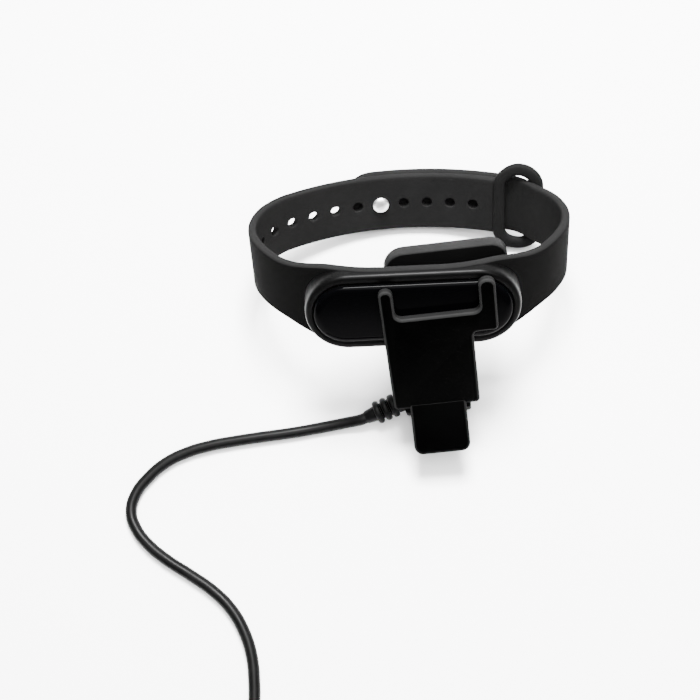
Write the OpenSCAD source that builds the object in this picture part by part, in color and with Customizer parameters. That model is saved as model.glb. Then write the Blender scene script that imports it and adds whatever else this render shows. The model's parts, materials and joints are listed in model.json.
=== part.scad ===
// Fitness tracker band with its clip-on charger and lead.
// Wrist loop frame: X to the right, Y towards the back of the loop, Z along the loop's axis,
// with the strap's middle surface at Y = 0 in front. in_row() lays that frame on the table.

/* [Strap] */
// Thickness of the strap
strap_t = 2; // [1.8:0.1:2]
// Width of the strap beside the tracker
wide_front = 20.8; // [20.6:0.2:22]
// Width of the strap round the wrist
wide_back = 15.4; // [15:0.2:16]
// Half length of the straight front
front_flat = 6.4; // [6:0.2:7]
// Radius of the curve beside the tracker
front_r = 32.7; // [32:0.1:33.4]
// Angle of the curve beside the tracker
front_turn = 65; // [64:0.5:66]
// Radius at the sides of the wrist
side_r = 15.6; // [15:0.2:16]
// Angle of the curve at the sides of the wrist
side_turn = 86; // [85:0.5:87]
// Radius of a size hole
hole_r = 1.3; // [1.2:0.05:1.35]
// Distance between size holes
hole_pitch = 6; // [5.6:0.2:6]
// Place of the fastened hole, along the strap from the middle of the back
stud_at = -6.6; // [-7:0.2:-6]
// Distance between the two layers of the fastened strap
layer_step = 2.2; // [2.1:0.05:2.4]

/* [Tracker] */
// Length of the tracker
pod_l = 46.9; // [46:0.1:47.2]
// Height of the tracker across the strap
pod_h = 17.9; // [17.6:0.1:18]
// Depth of the tracker's front face in front of the strap
glass_y = 3.2; // [3:0.1:3.4]
// Place of the tracker's back face
pod_back = 8.8; // [8.6:0.1:8.8]
// Wall of the tracker's housings
pod_wall = 1; // [0.8:0.1:1.1]

/* [Charging clip] */
// Distance of the clip to the right of the tracker's middle
clip_x = 4; // [3.6:0.1:4.2]
// Angle at which the clip sits on the tracker
clip_roll = 4.5; // [0:0.5:5]
// Thickness of the front jaw
jaw_t = 2.2; // [2:0.1:2.2]
// Radius of the hinge pin
pin_r = 1; // [0.8:0.1:1]
// Clearance round the hinge pin in the jaw's ears
pin_gap = 0.05; // [0.03:0.01:0.08]
// Length of the thumb tab
tab_l = 12; // [10:0.5:12]
// Forward lean of the thumb tab
tab_lean = 30; // [24:1:34]
// Distance between the two charging pins
contact_pitch = 7; // [6:0.5:7]

/* [Lead] */
// Diameter of the lead
cord_d = 2.8; // [2.8:0.1:2.8]
// Diameter of the coil across the middle of its turns
coil_d = 31; // [31:1:31]

/* [Hidden] */
$fn = 48;

// How the band leans on the table, and how far it is moved to stand in the middle
tilt = 32;
row_y = -9.5;

// Lengths along half of the loop
turned = front_turn + side_turn;
side_x = front_flat + front_r*sin(front_turn);
side_y = front_r*(1 - cos(front_turn));
back_x = side_x + side_r*(sin(turned) - sin(front_turn));
back_y = side_y + side_r*(cos(front_turn) - cos(turned));
back_r = back_x/sin(turned);
front_len = front_r*front_turn*PI/180;
side_len = side_r*side_turn*PI/180;
back_len = back_r*(180 - turned)*PI/180;
half_loop = front_flat + front_len + side_len + back_len;
far_y = back_y + back_r*(1 + cos(turned)) + layer_step + strap_t/2;
row_z = far_y*sin(tilt) + wide_back/2*cos(tilt);

// Ends of the strap, as distances from the middle of the back
holed_end = 25.5;
tail_end = -16;
shift_from = 35;
shift_to = 27;
taper_in = 17.4;
taper_out = 31;
first_hole = -6;
last_hole = 4;

// Keeper hoop on the end of the holed strap
hoop_at = [28.1, 41.15, 0];
hoop_turn = -14;
hoop_w = 12.4;
hoop_h = 24.2;
hoop_open_w = 6.2;
hoop_open_h = 18.4;
hoop_t = 2.2;

// Cradle round the tracker
lip_y = -2.2;
lip_t = 1.3;
cradle_back = 9;
cradle_l = pod_l + 1.8;
cradle_h = pod_h + 2.1;
lip_open_l = pod_l - 1.7;
lip_open_h = pod_h - 2.5;
pod_gap = 0.1;

// Inside the tracker
window_l = lip_open_l - 0.3;
window_h = lip_open_h - 0.3;
glass_t = 1.1;
step_y = lip_y + lip_t + 0.05;
split_y = 1.2;
taper_y = 2;
tail_l = 39;
tail_h = 8;
inner_l = pod_l - 2*pod_wall - 0.2;
inner_h = pod_h - 2*pod_wall - 0.2;
motor_x = 15.4;
motor_y = 3.4;
motor_t = 2.7;
sensor_x = -9;

// Charging clip, in its own frame
jaw_front = -5.6;
jaw_left = -11.2;
jaw_right = 9;
fork_right = 14.7;
ear_t = 2;
hinge_y = 3.5;
hinge_z = -19;
ear_r = 3;
lower_left = jaw_left + ear_t + 0.1;
lower_right = jaw_right - ear_t - 0.1;
plate_front = 9;
plate_back = 12.4;
block_z = -2;

// Lead
cord_r = cord_d/2;
strain_root = [-3.45, -22.95, 4.4];
strain_turn = 200;
strain_dip = 8;
strain_l = 9.6;
route = [
    [-16, -26.85, 2.3], [-20, -27.3, 1.7], [-25, -28, 1.4], [-31, -28.8, 1.4],
    [-38, -29.5, 1.4], [-45, -30.3, 1.4], [-51, -31.2, 1.4], [-57, -32.8, 1.4],
    [-62, -35.2, 1.4], [-66, -38.6, 1.4], [-69, -42.6, 1.4], [-70, -47, 1.4],
    [-68.6, -51.2, 1.4], [-65.5, -55.2, 1.4], [-61, -59, 1.4], [-55, -63, 1.4],
    [-50, -66.6, 1.4], [-45.6, -71, 1.4], [-42.4, -76.4, 1.4], [-40.6, -82, 1.4],
    [-40, -88, 1.4], [-40, -94, 1.4], [-40, -100, 1.4], [-40, -106, 1.4]];
coil_at = [-23, -116, 0.4];
plug_at = [-3, coil_at.y - coil_d/2, 4];
plug_body_l = 24;
plug_shell_l = 14;

// Heading of the strap at a distance s from the front centre
function heading(s) =
    s < front_flat ? 0 :
    s < front_flat + front_len ? (s - front_flat)/front_r*180/PI :
    s < front_flat + front_len + side_len ?
        front_turn + (s - front_flat - front_len)/side_r*180/PI :
    turned + (s - front_flat - front_len - side_len)/back_r*180/PI;

// Middle surface of the strap at a distance s from the front centre
function middle(s) = let(h = heading(s))
    s < front_flat ? [s, 0] :
    s < front_flat + front_len ?
        [front_flat + front_r*sin(h), front_r*(1 - cos(h))] :
    s < front_flat + front_len + side_len ?
        [side_x + side_r*(sin(h) - sin(front_turn)),
         side_y + side_r*(cos(front_turn) - cos(h))] :
    [back_x + back_r*(sin(h) - sin(turned)),
     back_y + back_r*(cos(turned) - cos(h))];

// Point at a distance c from the middle of the back, off the middle surface by off
function at(c, off = 0) = let(s = half_loop - abs(c), h = heading(s), p = middle(s))
    [sign(c)*(p.x + off*sin(h)), p.y - off*cos(h)];

// Turn about Z that takes +Y to the outward normal at a distance c
function normal_turn(c) = sign(c)*(heading(half_loop - abs(c)) - 180);

function ease(t) = let(u = min(max(t, 0), 1)) u*u*(3 - 2*u);
function shift(c) = layer_step*ease((shift_from - c)/(shift_from - shift_to));
function spread(a, b, n) = [for (i = [0:n]) a + (b - a)*i/n];
function half_width(x) = wide_front/2
    + (wide_back - wide_front)/2*ease((abs(x) - taper_in)/(taper_out - taper_in));

// Moves the loop's frame on to the table
module in_row() {
    translate([0, row_y, row_z]) rotate([-tilt, 0, 0]) children();
}

// Moves the clip's frame on to the table
module in_clip() {
    in_row() translate([clip_x, 0, 0]) rotate([0, -clip_roll, 0]) children();
}

// Gives an outline in X and Z a thickness from y0 to y1
module plate(y0, y1) {
    translate([0, y1, 0]) rotate([90, 0, 0]) linear_extrude(y1 - y0) children();
}

// Gives an outline in Y and Z a width from x0 to x1
module side_plate(x0, x1) {
    translate([x0, 0, 0]) rotate([90, 0, 90]) linear_extrude(x1 - x0) children();
}

module stadium(l, h) {
    square([l - h, h], center = true);
    for (x = [-1, 1]) translate([x*(l - h)/2, 0]) circle(h/2);
}

module rounded(w, h, r) {
    square([w - 2*r, h], center = true);
    square([w, h - 2*r], center = true);
    for (x = [-1, 1], y = [-1, 1]) translate([x*(w/2 - r), y*(h/2 - r)]) circle(r);
}

// Rod along the loop's outward normal at a distance c, between two offsets
module normal_rod(c, r, off0, off1) {
    p = at(c);
    translate([p.x, p.y, 0]) rotate([0, 0, normal_turn(c)]) rotate([-90, 0, 0])
        translate([0, 0, off0]) cylinder(h = off1 - off0, r = r);
}

// Outline of a stretch of strap through the distances in cs
module stretch(cs, offs) {
    n = len(cs) - 1;
    polygon(concat(
        [for (i = [0:n]) at(cs[i], offs[i] + strap_t/2)],
        [for (i = [n:-1:0]) at(cs[i], offs[i] - strap_t/2)]));
}

module holed_outline() {
    cs = concat(spread(-half_loop, -back_len, 44), spread(-back_len + 2, holed_end, 22));
    stretch(cs, [for (c = cs) 0]);
}

module stud_outline(c_end) {
    cs = concat(spread(half_loop, shift_from, 44), spread(shift_from - 1, c_end, 26));
    stretch(cs, [for (c = cs) shift(c)]);
}

// Front and back widths of the strap, as one solid that trims it
module width_block() {
    xs = spread(-taper_out, taper_out, 32);
    top = concat([[-45, wide_back/2]], [for (x = xs) [x, half_width(x)]], [[45, wide_back/2]]);
    bottom = [for (i = [len(top) - 1:-1:0]) [top[i].x, -top[i].y]];
    plate(-5, 14) polygon(concat(top, bottom));
    translate([-45, 13.9, -wide_back/2]) cube([90, 45, wide_back]);
}

module strap_layers() {
    intersection() {
        translate([0, 0, -wide_front/2]) linear_extrude(wide_front) {
            holed_outline();
            stud_outline(0);
        }
        width_block();
    }
    intersection() {
        translate([0, 0, -wide_back/2]) linear_extrude(wide_back) stud_outline(tail_end);
        plate(44, 54) {
            translate([tail_end + wide_back/2, 0]) circle(wide_back/2);
            translate([tail_end + wide_back/2, -wide_back/2]) square([12, wide_back]);
        }
    }
}

module hoop() {
    translate(hoop_at) rotate([0, 0, hoop_turn]) plate(-hoop_t/2, hoop_t/2) difference() {
        rounded(hoop_w, hoop_h, 6.1);
        rounded(hoop_open_w, hoop_open_h, 3);
    }
}

// Everything in front of a surface just inside the strap's inner face, round the tracker
module front_side() {
    front_in = strap_t/2 - 0.25;
    ss = spread(-34, 34, 40);
    translate([0, 0, -wide_front/2]) linear_extrude(wide_front) polygon(concat(
        [[34, -8], [-34, -8]],
        [for (s = ss) let(h = heading(abs(s)), p = middle(abs(s)))
            [sign(s)*(p.x - front_in*sin(h)), p.y + front_in*cos(h)]]));
}

module cradle() {
    intersection() {
        plate(lip_y, cradle_back) stadium(cradle_l, cradle_h);
        front_side();
    }
}

module cradle_opening() {
    plate(lip_y - 1, cradle_back + 6) stadium(lip_open_l, lip_open_h);
    plate(lip_y + lip_t, cradle_back + 6) stadium(pod_l + 2*pod_gap, pod_h + 2*pod_gap);
}

module strap() {
    color([0.13, 0.13, 0.14]) in_row() difference() {
        union() {
            strap_layers();
            hoop();
            cradle();
        }
        cradle_opening();
        for (k = [first_hole:last_hole])
            normal_rod(stud_at + k*hole_pitch, hole_r, -2, layer_step/2 - 0.02);
        normal_rod(stud_at, hole_r - 0.1, 0, layer_step + 2);
    }
}

module stud() {
    color([0.93, 0.93, 0.92]) in_row() {
        normal_rod(stud_at, 2.1, -strap_t/2 - 0.85, -strap_t/2 - 0.05);
        normal_rod(stud_at, hole_r - 0.1, -strap_t/2 - 0.4, layer_step + strap_t/2 + 0.4);
        normal_rod(stud_at, 3.4, layer_step + strap_t/2, layer_step + strap_t/2 + 0.8);
    }
}

module glass() {
    color([0.02, 0.02, 0.02]) in_row() {
        plate(-glass_y, -glass_y + 0.4) stadium(window_l - 0.8, window_h - 0.8);
        plate(-glass_y + 0.4, -glass_y + glass_t) stadium(window_l, window_h);
    }
}

module display_panel() {
    color([0.08, 0.09, 0.12]) in_row()
        plate(-glass_y + glass_t, -glass_y + glass_t + 0.8) square([24, 10.8], center = true);
}

module front_housing() {
    color([0.07, 0.07, 0.07]) in_row() difference() {
        union() {
            plate(-glass_y + glass_t, step_y) stadium(window_l, window_h);
            plate(step_y, split_y) stadium(pod_l, pod_h);
        }
        plate(-glass_y, step_y) square([25, 12], center = true);
        plate(step_y - 0.2, split_y + 1) stadium(inner_l, inner_h);
    }
}

module seal_gasket() {
    color([0.25, 0.25, 0.27]) in_row() plate(split_y, split_y + 0.5) difference() {
        stadium(inner_l + 1.4, inner_h + 1.4);
        stadium(inner_l, inner_h);
    }
}

// Rear shell of the tracker, shrunk by a wall thickness
module rear_form(wall) {
    plate(split_y, taper_y) stadium(pod_l - 2*wall, pod_h - 2*wall);
    hull() {
        plate(taper_y - 0.1, taper_y) stadium(pod_l - 2*wall, pod_h - 2*wall, $fn = 32);
        plate(pod_back - wall - 0.1, pod_back - wall)
            stadium(tail_l - 2*wall, tail_h - 2*wall, $fn = 32);
    }
}

module rear_housing() {
    color([0.09, 0.09, 0.09]) in_row() difference() {
        rear_form(0);
        difference() {
            rear_form(pod_wall + 0.1);
            plate(split_y - 1, split_y) square([60, 30], center = true);
        }
        plate(split_y - 1, split_y + 0.5) stadium(inner_l + 1.4, inner_h + 1.4);
        plate(pod_back - 3, pod_back + 1) translate([sensor_x, 0]) circle(3.5);
        contact_spots() circle(1.2);
    }
}

// Two places side by side on the tracker's back, in the clip's frame
module contact_spots() {
    translate([clip_x, 0, 0]) rotate([0, -clip_roll, 0]) for (s = [-1, 1])
        translate([s*contact_pitch/2, 0, block_z]) plate(pod_back - 3, pod_back + 1) children();
}

module sensor_lens() {
    color([0.12, 0.05, 0.05, 0.8]) in_row()
        plate(pod_back - 0.9, pod_back - 0.05) translate([sensor_x, 0]) circle(3.5);
}

module sensor_module() {
    color([0.1, 0.35, 0.15]) in_row() {
        plate(pod_back - 2, pod_back - 1.3) translate([sensor_x, 0]) square(5.6, center = true);
        for (x = [-1.6, 0, 1.6]) plate(pod_back - 1.3, pod_back - 0.95)
            translate([sensor_x + x, 0]) square([1, 1.4], center = true);
    }
}

module main_board() {
    color([0.05, 0.3, 0.15]) in_row() plate(1.9, 2.6) rounded(38, 13, 3);
}

module shield_can() {
    color([0.75, 0.75, 0.77]) in_row() plate(0.7, 1.9)
        translate([-11, 0]) rounded(11, 10, 0.6);
}

module battery() {
    color([0.8, 0.8, 0.82]) in_row() plate(3, 6) translate([-5.5, 0]) rounded(22, 7.6, 1);
}

module battery_foam() {
    color([0.2, 0.2, 0.2]) in_row() plate(2.6, 3) translate([-5.5, 0]) square([18, 8], center = true);
}

module display_flex() {
    color([0.75, 0.5, 0.15]) in_row() {
        plate(-glass_y + glass_t + 0.8, 1.9) translate([4, 3]) square([7, 0.2], center = true);
        plate(-glass_y + glass_t + 0.8, -glass_y + glass_t + 0.95)
            translate([4, 1]) square([7, 4], center = true);
    }
}

module antenna() {
    color([0.8, 0.6, 0.3]) in_row() plate(0.6, 2.1) difference() {
        stadium(inner_l - 0.8, inner_h - 0.8);
        stadium(inner_l - 1.4, inner_h - 1.4);
        translate([-30, -20]) square([60, 20]);
    }
}

module charge_contacts() {
    color([0.85, 0.7, 0.35]) in_row() intersection() {
        contact_spots() circle(1.2);
        plate(pod_back - 0.8, pod_back - 0.02) square([60, 30], center = true);
    }
}

module motor_case() {
    color([0.7, 0.7, 0.72]) in_row() difference() {
        translate([motor_x, 0, 0]) plate(motor_y, motor_y + motor_t) circle(3.7);
        translate([motor_x, 0, 0]) plate(motor_y + 0.3, motor_y + motor_t - 0.3) circle(3.4);
    }
}

module motor_pin() {
    color([0.8, 0.8, 0.82]) in_row() translate([motor_x, 0, 0])
        plate(motor_y + 0.3, motor_y + motor_t - 0.3) circle(0.4);
}

module motor_rotor() {
    color([0.5, 0.45, 0.35]) in_row() translate([motor_x, 0, 0])
        plate(motor_y + 0.6, motor_y + motor_t - 0.6) difference() {
            union() {
                circle(1.2);
                intersection() {
                    circle(3.1);
                    translate([-4, 0]) square([8, 4]);
                }
            }
            circle(0.44);
        }
}

// Outline of the clip's rear plate, from its rounded top down to the lower housing
module rear_plate_outline() {
    difference() {
        union() {
            translate([-5, 3.6]) circle(5);
            translate([14.7, 4.6]) circle(4);
            translate([-5, 0]) square([19.7, 8.6]);
            translate([-10, -12]) square([20, 15.6]);
            translate([0, -12]) square([18.7, 16.6]);
            translate([lower_left, -14]) square([lower_right - lower_left, 6]);
        }
        translate([14.7, -16]) rotate(-45) square([8, 12]);
    }
}

module lower_side_outline() {
    polygon([[4, -13], [plate_back - 1.2, -13], [plate_back - 1.2, -40], [4.3, -35.8],
        [1, -32], [1, -25.5], [4, -25.5]]);
}

module clip_housing() {
    color([0.06, 0.06, 0.06]) difference() {
        in_clip() difference() {
            union() {
                plate(plate_front, plate_back) rear_plate_outline();
                side_plate(lower_left, lower_right) lower_side_outline();
                for (x = [lower_left, lower_right - 3]) side_plate(x, x + 3) {
                    translate([hinge_y, hinge_z]) circle(2.4);
                    translate([hinge_y, hinge_z - 2.4]) square([2, 4.8]);
                }
            }
            side_plate(lower_left + 1.6, lower_right - 1.6) housing_hollow();
            side_plate(lower_left + 3, lower_right - 3)
                translate([hinge_y, hinge_z]) circle(2.3);
            side_plate(lower_left - 1, lower_right + 1)
                translate([hinge_y, hinge_z]) circle(pin_r);
            translate([0, 0, block_z]) plate(plate_front - 1, plate_back - 0.6)
                square([12.4, 5.4], center = true);
            plate(plate_front + 1.6, plate_back - 0.6) translate([-2, -14]) square([4, 12]);
        }
        translate([-60, -60, -40]) cube([120, 120, 40]);
    }
}

module housing_hollow() {
    polygon([[6.4, -15], [plate_back + 1, -15], [plate_back + 1, -28], [6.4, -31]]);
}

module clip_cover() {
    color([0.07, 0.07, 0.07]) difference() {
        in_clip() difference() {
            plate(plate_back - 1.2, plate_back) translate([lower_left, -40])
                square([lower_right - lower_left, 25.9]);
            for (p = screw_spots()) translate([p.x, 0, p.y])
                plate(plate_back - 2, plate_back + 1) circle(0.9);
        }
        translate([-60, -60, -40]) cube([120, 120, 40]);
    }
}

function screw_spots() = [[lower_left + 3, -17], [lower_right - 3, -17]];

module cover_screws() {
    color([0.5, 0.5, 0.52]) in_clip() for (p = screw_spots()) translate([p.x, 0, p.y]) {
        plate(plate_back - 0.8, plate_back + 0.02) difference() {
            circle(0.9);
            square([1.2, 0.3], center = true);
        }
        plate(plate_back - 3.2, plate_back - 0.8) circle(0.5);
    }
}

module clip_board() {
    color([0.05, 0.3, 0.15]) in_clip() {
        plate(7, 7.8) translate([-4.2, -29]) square([6.4, 12]);
        plate(7.8, 8.8) translate([-2.6, -24]) square([3, 3]);
    }
}

module contact_block() {
    color([0.12, 0.12, 0.12]) in_clip() difference() {
        translate([0, 0, block_z]) plate(plate_front + 0.05, plate_back - 0.6)
            square([12.4, 5.4], center = true);
        pogo_pair(plate_front - 1, plate_back - 0.6) circle(0.9);
    }
}

// The same shape round each charging pin, from y0 to y1
module pogo_pair(y0, y1) {
    for (s = [-1, 1]) translate([s*contact_pitch/2, 0, block_z]) plate(y0, y1) children();
}

module pogo_barrels() {
    color([0.85, 0.7, 0.35]) in_clip() difference() {
        pogo_pair(plate_front + 0.05, plate_back - 0.6) circle(0.9);
        pogo_pair(plate_front - 1, plate_back - 0.9) circle(0.55);
    }
}

module pogo_springs() {
    color([0.7, 0.7, 0.7]) in_clip() pogo_pair(plate_front + 1.6, plate_back - 0.9) difference() {
        circle(0.4);
        circle(0.25);
    }
}

module pogo_pin(s) {
    color([0.9, 0.75, 0.35]) in_clip() translate([s*contact_pitch/2, 0, block_z])
        plate(pod_back, plate_front + 1.5) circle(0.5);
}

module front_jaw_outline() {
    z_step = -5;
    difference() {
        union() {
            translate([jaw_left, -25.4]) square([jaw_right - jaw_left, 25.8]);
            translate([jaw_left, 0]) square([3.2, 6.8]);
            translate([jaw_left + 1.6, 6.8]) circle(1.6);
            translate([10.9, z_step + 1.2]) square([fork_right - 10.9, 11.8 - z_step - 6]);
            translate([jaw_right - 2, z_step]) square([fork_right - jaw_right + 0.8, 5.4]);
            translate([fork_right - 1.2, z_step + 1.2]) circle(1.2);
            translate([12.8, 6.9]) circle(1.9);
            translate([jaw_left + 3.1, 0.3]) square([1.6, 1.6]);
            translate([9.4, 0.3]) square([1.6, 1.6]);
        }
        translate([jaw_left + 4.8, 2]) circle(1.6);
        translate([9.3, 2]) circle(1.6);
    }
}

module front_jaw() {
    color([0.05, 0.05, 0.05]) in_clip() difference() {
        union() {
            plate(jaw_front, jaw_front + jaw_t) front_jaw_outline();
            for (x = [jaw_left, jaw_right - ear_t]) side_plate(x, x + ear_t) {
                translate([hinge_y, hinge_z]) circle(ear_r);
                translate([jaw_front + 0.5, hinge_z - ear_r])
                    square([hinge_y - jaw_front - 0.5, 2*ear_r]);
            }
            translate([-7.5, jaw_front, -24.4]) rotate([-tab_lean, 0, 0])
                translate([0, 0, -tab_l]) thumb_tab();
        }
        side_plate(jaw_left - 1, jaw_right + 1)
            translate([hinge_y, hinge_z]) circle(pin_r + pin_gap);
    }
}

module thumb_tab() {
    translate([6.6, 0, 0]) plate(0, jaw_t) union() {
        translate([0, tab_l/2 + 1]) square([13.2, tab_l - 2], center = true);
        translate([0, 1]) square([9.2, 2], center = true);
        for (x = [-4.6, 4.6]) translate([x, 2]) circle(2);
    }
}

module hinge_pin() {
    color([0.8, 0.8, 0.82]) in_clip()
        side_plate(jaw_left, jaw_right) translate([hinge_y, hinge_z]) circle(pin_r);
}

module jaw_spring() {
    color([0.7, 0.7, 0.7]) in_clip() side_plate(lower_left + 3.4, lower_right - 3.4) difference() {
        translate([hinge_y, hinge_z]) circle(1.9);
        translate([hinge_y, hinge_z]) circle(1.4);
    }
}

module strain_relief() {
    color([0.05, 0.05, 0.05]) translate(strain_root) rotate([0, 90 + strain_dip, strain_turn]) {
        cylinder(h = strain_l, r1 = 2.3, r2 = 1.6);
        for (z = [1.4, 3.4, 5.4]) translate([0, 0, z]) cylinder(h = 1.6, r = 2.9);
    }
}

// Point on the axis of the strain relief, at a distance from its root
function strain_axis(l) = strain_root + l*[cos(strain_dip)*cos(strain_turn),
    cos(strain_dip)*sin(strain_turn), -sin(strain_dip)];

function unit(v) = v/norm(v);

// Round tube through the points p
module tube(p, r, sides = 8) {
    n = len(p) - 1;
    rings = [for (i = [0:n]) let(
            t = unit(p[min(i + 1, n)] - p[max(i - 1, 0)]),
            u = unit(cross(t, [0, 0, 1])),
            w = cross(u, t))
        for (k = [0:sides - 1]) p[i] + r*(cos(k*360/sides)*u + sin(k*360/sides)*w)];
    sides_faces = [for (i = [0:n - 1], k = [0:sides - 1]) let(a = i*sides, b = (k + 1) % sides)
        [a + k, a + b, a + sides + b, a + sides + k]];
    polyhedron(rings, concat(
        [[for (k = [sides - 1:-1:0]) k]],
        sides_faces,
        [[for (k = [0:sides - 1]) n*sides + k]]));
}

module cord_run() {
    color([0.08, 0.08, 0.08]) tube(concat([strain_axis(strain_l), strain_axis(strain_l + 1)], route), cord_r);
}

module cord_coil() {
    color([0.08, 0.08, 0.08]) translate(coil_at) rotate_extrude($fn = 64)
        translate([coil_d/2 - cord_d, 0]) square([2*cord_d, 2*cord_d]);
}

module cord_tail() {
    color([0.08, 0.08, 0.08]) tube([[coil_at.x + 12, plug_at.y, 4.4],
        [(coil_at.x + 12 + plug_at.x)/2, plug_at.y, 4.2], plug_at - [1, 0, 0], plug_at], cord_r);
}

module cord_tie() {
    color([0.2, 0.2, 0.2]) translate(coil_at + [0, coil_d/2, cord_d]) rotate([0, 90, 0])
        translate([0, 0, -2]) linear_extrude(4) difference() {
            square([2*cord_d + 0.8, 2*cord_d + 1.6], center = true);
            square([2*cord_d, 2*cord_d + 0.8], center = true);
        }
}

module usb_overmould() {
    color([0.06, 0.06, 0.06]) translate(plug_at) side_plate(0, plug_body_l) rounded(15.6, 8, 2);
}

module usb_shell() {
    color([0.75, 0.75, 0.77]) translate(plug_at + [plug_body_l, 0, 0]) difference() {
        side_plate(0, plug_shell_l) square([12, 4.5], center = true);
        side_plate(0.4, plug_shell_l + 1) square([11.4, 3.9], center = true);
        for (y = [-2.6, 2.6]) translate([6, y, 2]) cube([2.4, 2, 2], center = true);
    }
}

module usb_tongue() {
    color([0.9, 0.9, 0.9]) translate(plug_at + [plug_body_l + 0.4, 0, 0])
        side_plate(0, plug_shell_l - 1) translate([-5.6, -1.9]) square([11.2, 1.9]);
}

module usb_contacts() {
    color([0.85, 0.7, 0.35]) translate(plug_at + [plug_body_l + 4, 0, 0])
        for (y = [-3.5, -1, 1, 3.5]) side_plate(0, 8) translate([y - 0.5, 0]) square([1, 0.2]);
}

strap();
stud();
glass();
display_panel();
front_housing();
seal_gasket();
rear_housing();
sensor_lens();
sensor_module();
main_board();
shield_can();
battery();
battery_foam();
display_flex();
antenna();
charge_contacts();
motor_case();
motor_pin();
motor_rotor();
clip_housing();
clip_cover();
cover_screws();
clip_board();
contact_block();
pogo_barrels();
pogo_springs();
pogo_pin(-1);  // pogo_pin_left
pogo_pin(1);  // pogo_pin_right
front_jaw();
hinge_pin();
jaw_spring();
strain_relief();
cord_run();
cord_coil();
cord_tail();
cord_tie();
usb_overmould();
usb_shell();
usb_tongue();
usb_contacts();
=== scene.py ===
import json
import math

import bmesh
import bpy
from mathutils import Matrix, Vector


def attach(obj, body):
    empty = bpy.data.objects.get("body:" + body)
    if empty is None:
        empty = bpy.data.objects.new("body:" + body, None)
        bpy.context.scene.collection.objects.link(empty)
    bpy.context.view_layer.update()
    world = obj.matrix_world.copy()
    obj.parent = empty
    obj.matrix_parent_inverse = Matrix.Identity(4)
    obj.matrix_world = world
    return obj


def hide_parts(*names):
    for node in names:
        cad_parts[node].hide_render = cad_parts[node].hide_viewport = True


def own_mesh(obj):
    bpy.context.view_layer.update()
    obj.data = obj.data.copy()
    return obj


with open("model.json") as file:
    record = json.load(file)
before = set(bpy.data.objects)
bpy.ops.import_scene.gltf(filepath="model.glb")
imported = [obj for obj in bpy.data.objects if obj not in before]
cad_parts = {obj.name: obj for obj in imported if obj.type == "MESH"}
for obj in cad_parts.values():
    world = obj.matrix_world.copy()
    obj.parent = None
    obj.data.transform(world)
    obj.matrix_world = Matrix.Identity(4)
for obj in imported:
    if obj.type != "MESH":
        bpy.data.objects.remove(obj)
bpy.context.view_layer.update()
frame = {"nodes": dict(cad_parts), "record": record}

mm = 0.001
joints = {joint["name"]: joint for joint in frame["record"]["behaviour"]["joints"]}

# The band leans back on the table, and the clip sits a little turned on the tracker.
motor = {"x": 15.4, "y": 4.7}  # the motor's axle in the loop's own frame, in mm
clip = {"x": 4}                 # the clip's middle, right of the tracker's middle
inward = Vector(joints["motor_spin"]["axis"])
lean = math.atan2(-inward.z, inward.y)
hingeAxis = Vector(joints["jaw_hinge"]["axis"])
clipTurn = math.acos(hingeAxis.x)
leanTurn = Matrix.Rotation(-lean, 4, "X")
loopOrigin = (Vector(joints["motor_spin"]["pos_m"])
              - leanTurn.to_3x3() @ Vector((motor["x"], motor["y"], 0)) * mm)
loopPlace = Matrix.Translation(loopOrigin) @ leanTurn @ Matrix.Scale(mm, 4)
clipPlace = loopPlace @ Matrix.Translation((clip["x"], 0, 0)) @ Matrix.Rotation(-clipTurn, 4, "Y")
tablePlace = Matrix.Scale(mm, 4)


shot = {"target": (-15.87, -7.11, 0), "distance": 303.86, "elevation": 69.09,
        "azimuth": -6.23, "roll": -8.36, "lens": 61.7}


def makeCamera():
    data = bpy.data.cameras.new("camera")
    data.lens = shot["lens"]
    data.sensor_width = 36
    data.clip_start = 0.01
    camera = bpy.data.objects.new("camera", data)
    bpy.context.scene.collection.objects.link(camera)
    tip, side = math.radians(90 - shot["elevation"]), math.radians(-shot["azimuth"])
    turn = (Matrix.Rotation(side, 4, "Z") @ Matrix.Rotation(tip, 4, "X")
            @ Matrix.Rotation(math.radians(shot["roll"]), 4, "Z"))
    place = Matrix.Translation(Vector(shot["target"]) * mm) @ turn
    camera.matrix_world = place @ Matrix.Translation((0, 0, shot["distance"] * mm))
    bpy.context.scene.camera = camera
    print("camera ready")


makeCamera()


class Signal:
    # one output socket that takes part in sums and products
    def __init__(self, look, socket):
        self.look, self.socket = look, socket

    def joined(self, operation, first, second):
        return self.look.add("ShaderNodeMath", {"operation": operation}, {0: first, 1: second})

    def __add__(self, other):
        return self.joined("ADD", self, other)

    def __radd__(self, other):
        return self.joined("ADD", other, self)

    def __sub__(self, other):
        return self.joined("SUBTRACT", self, other)

    def __rsub__(self, other):
        return self.joined("SUBTRACT", other, self)

    def __mul__(self, other):
        return self.joined("MULTIPLY", self, other)

    def __rmul__(self, other):
        return self.joined("MULTIPLY", other, self)


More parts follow.
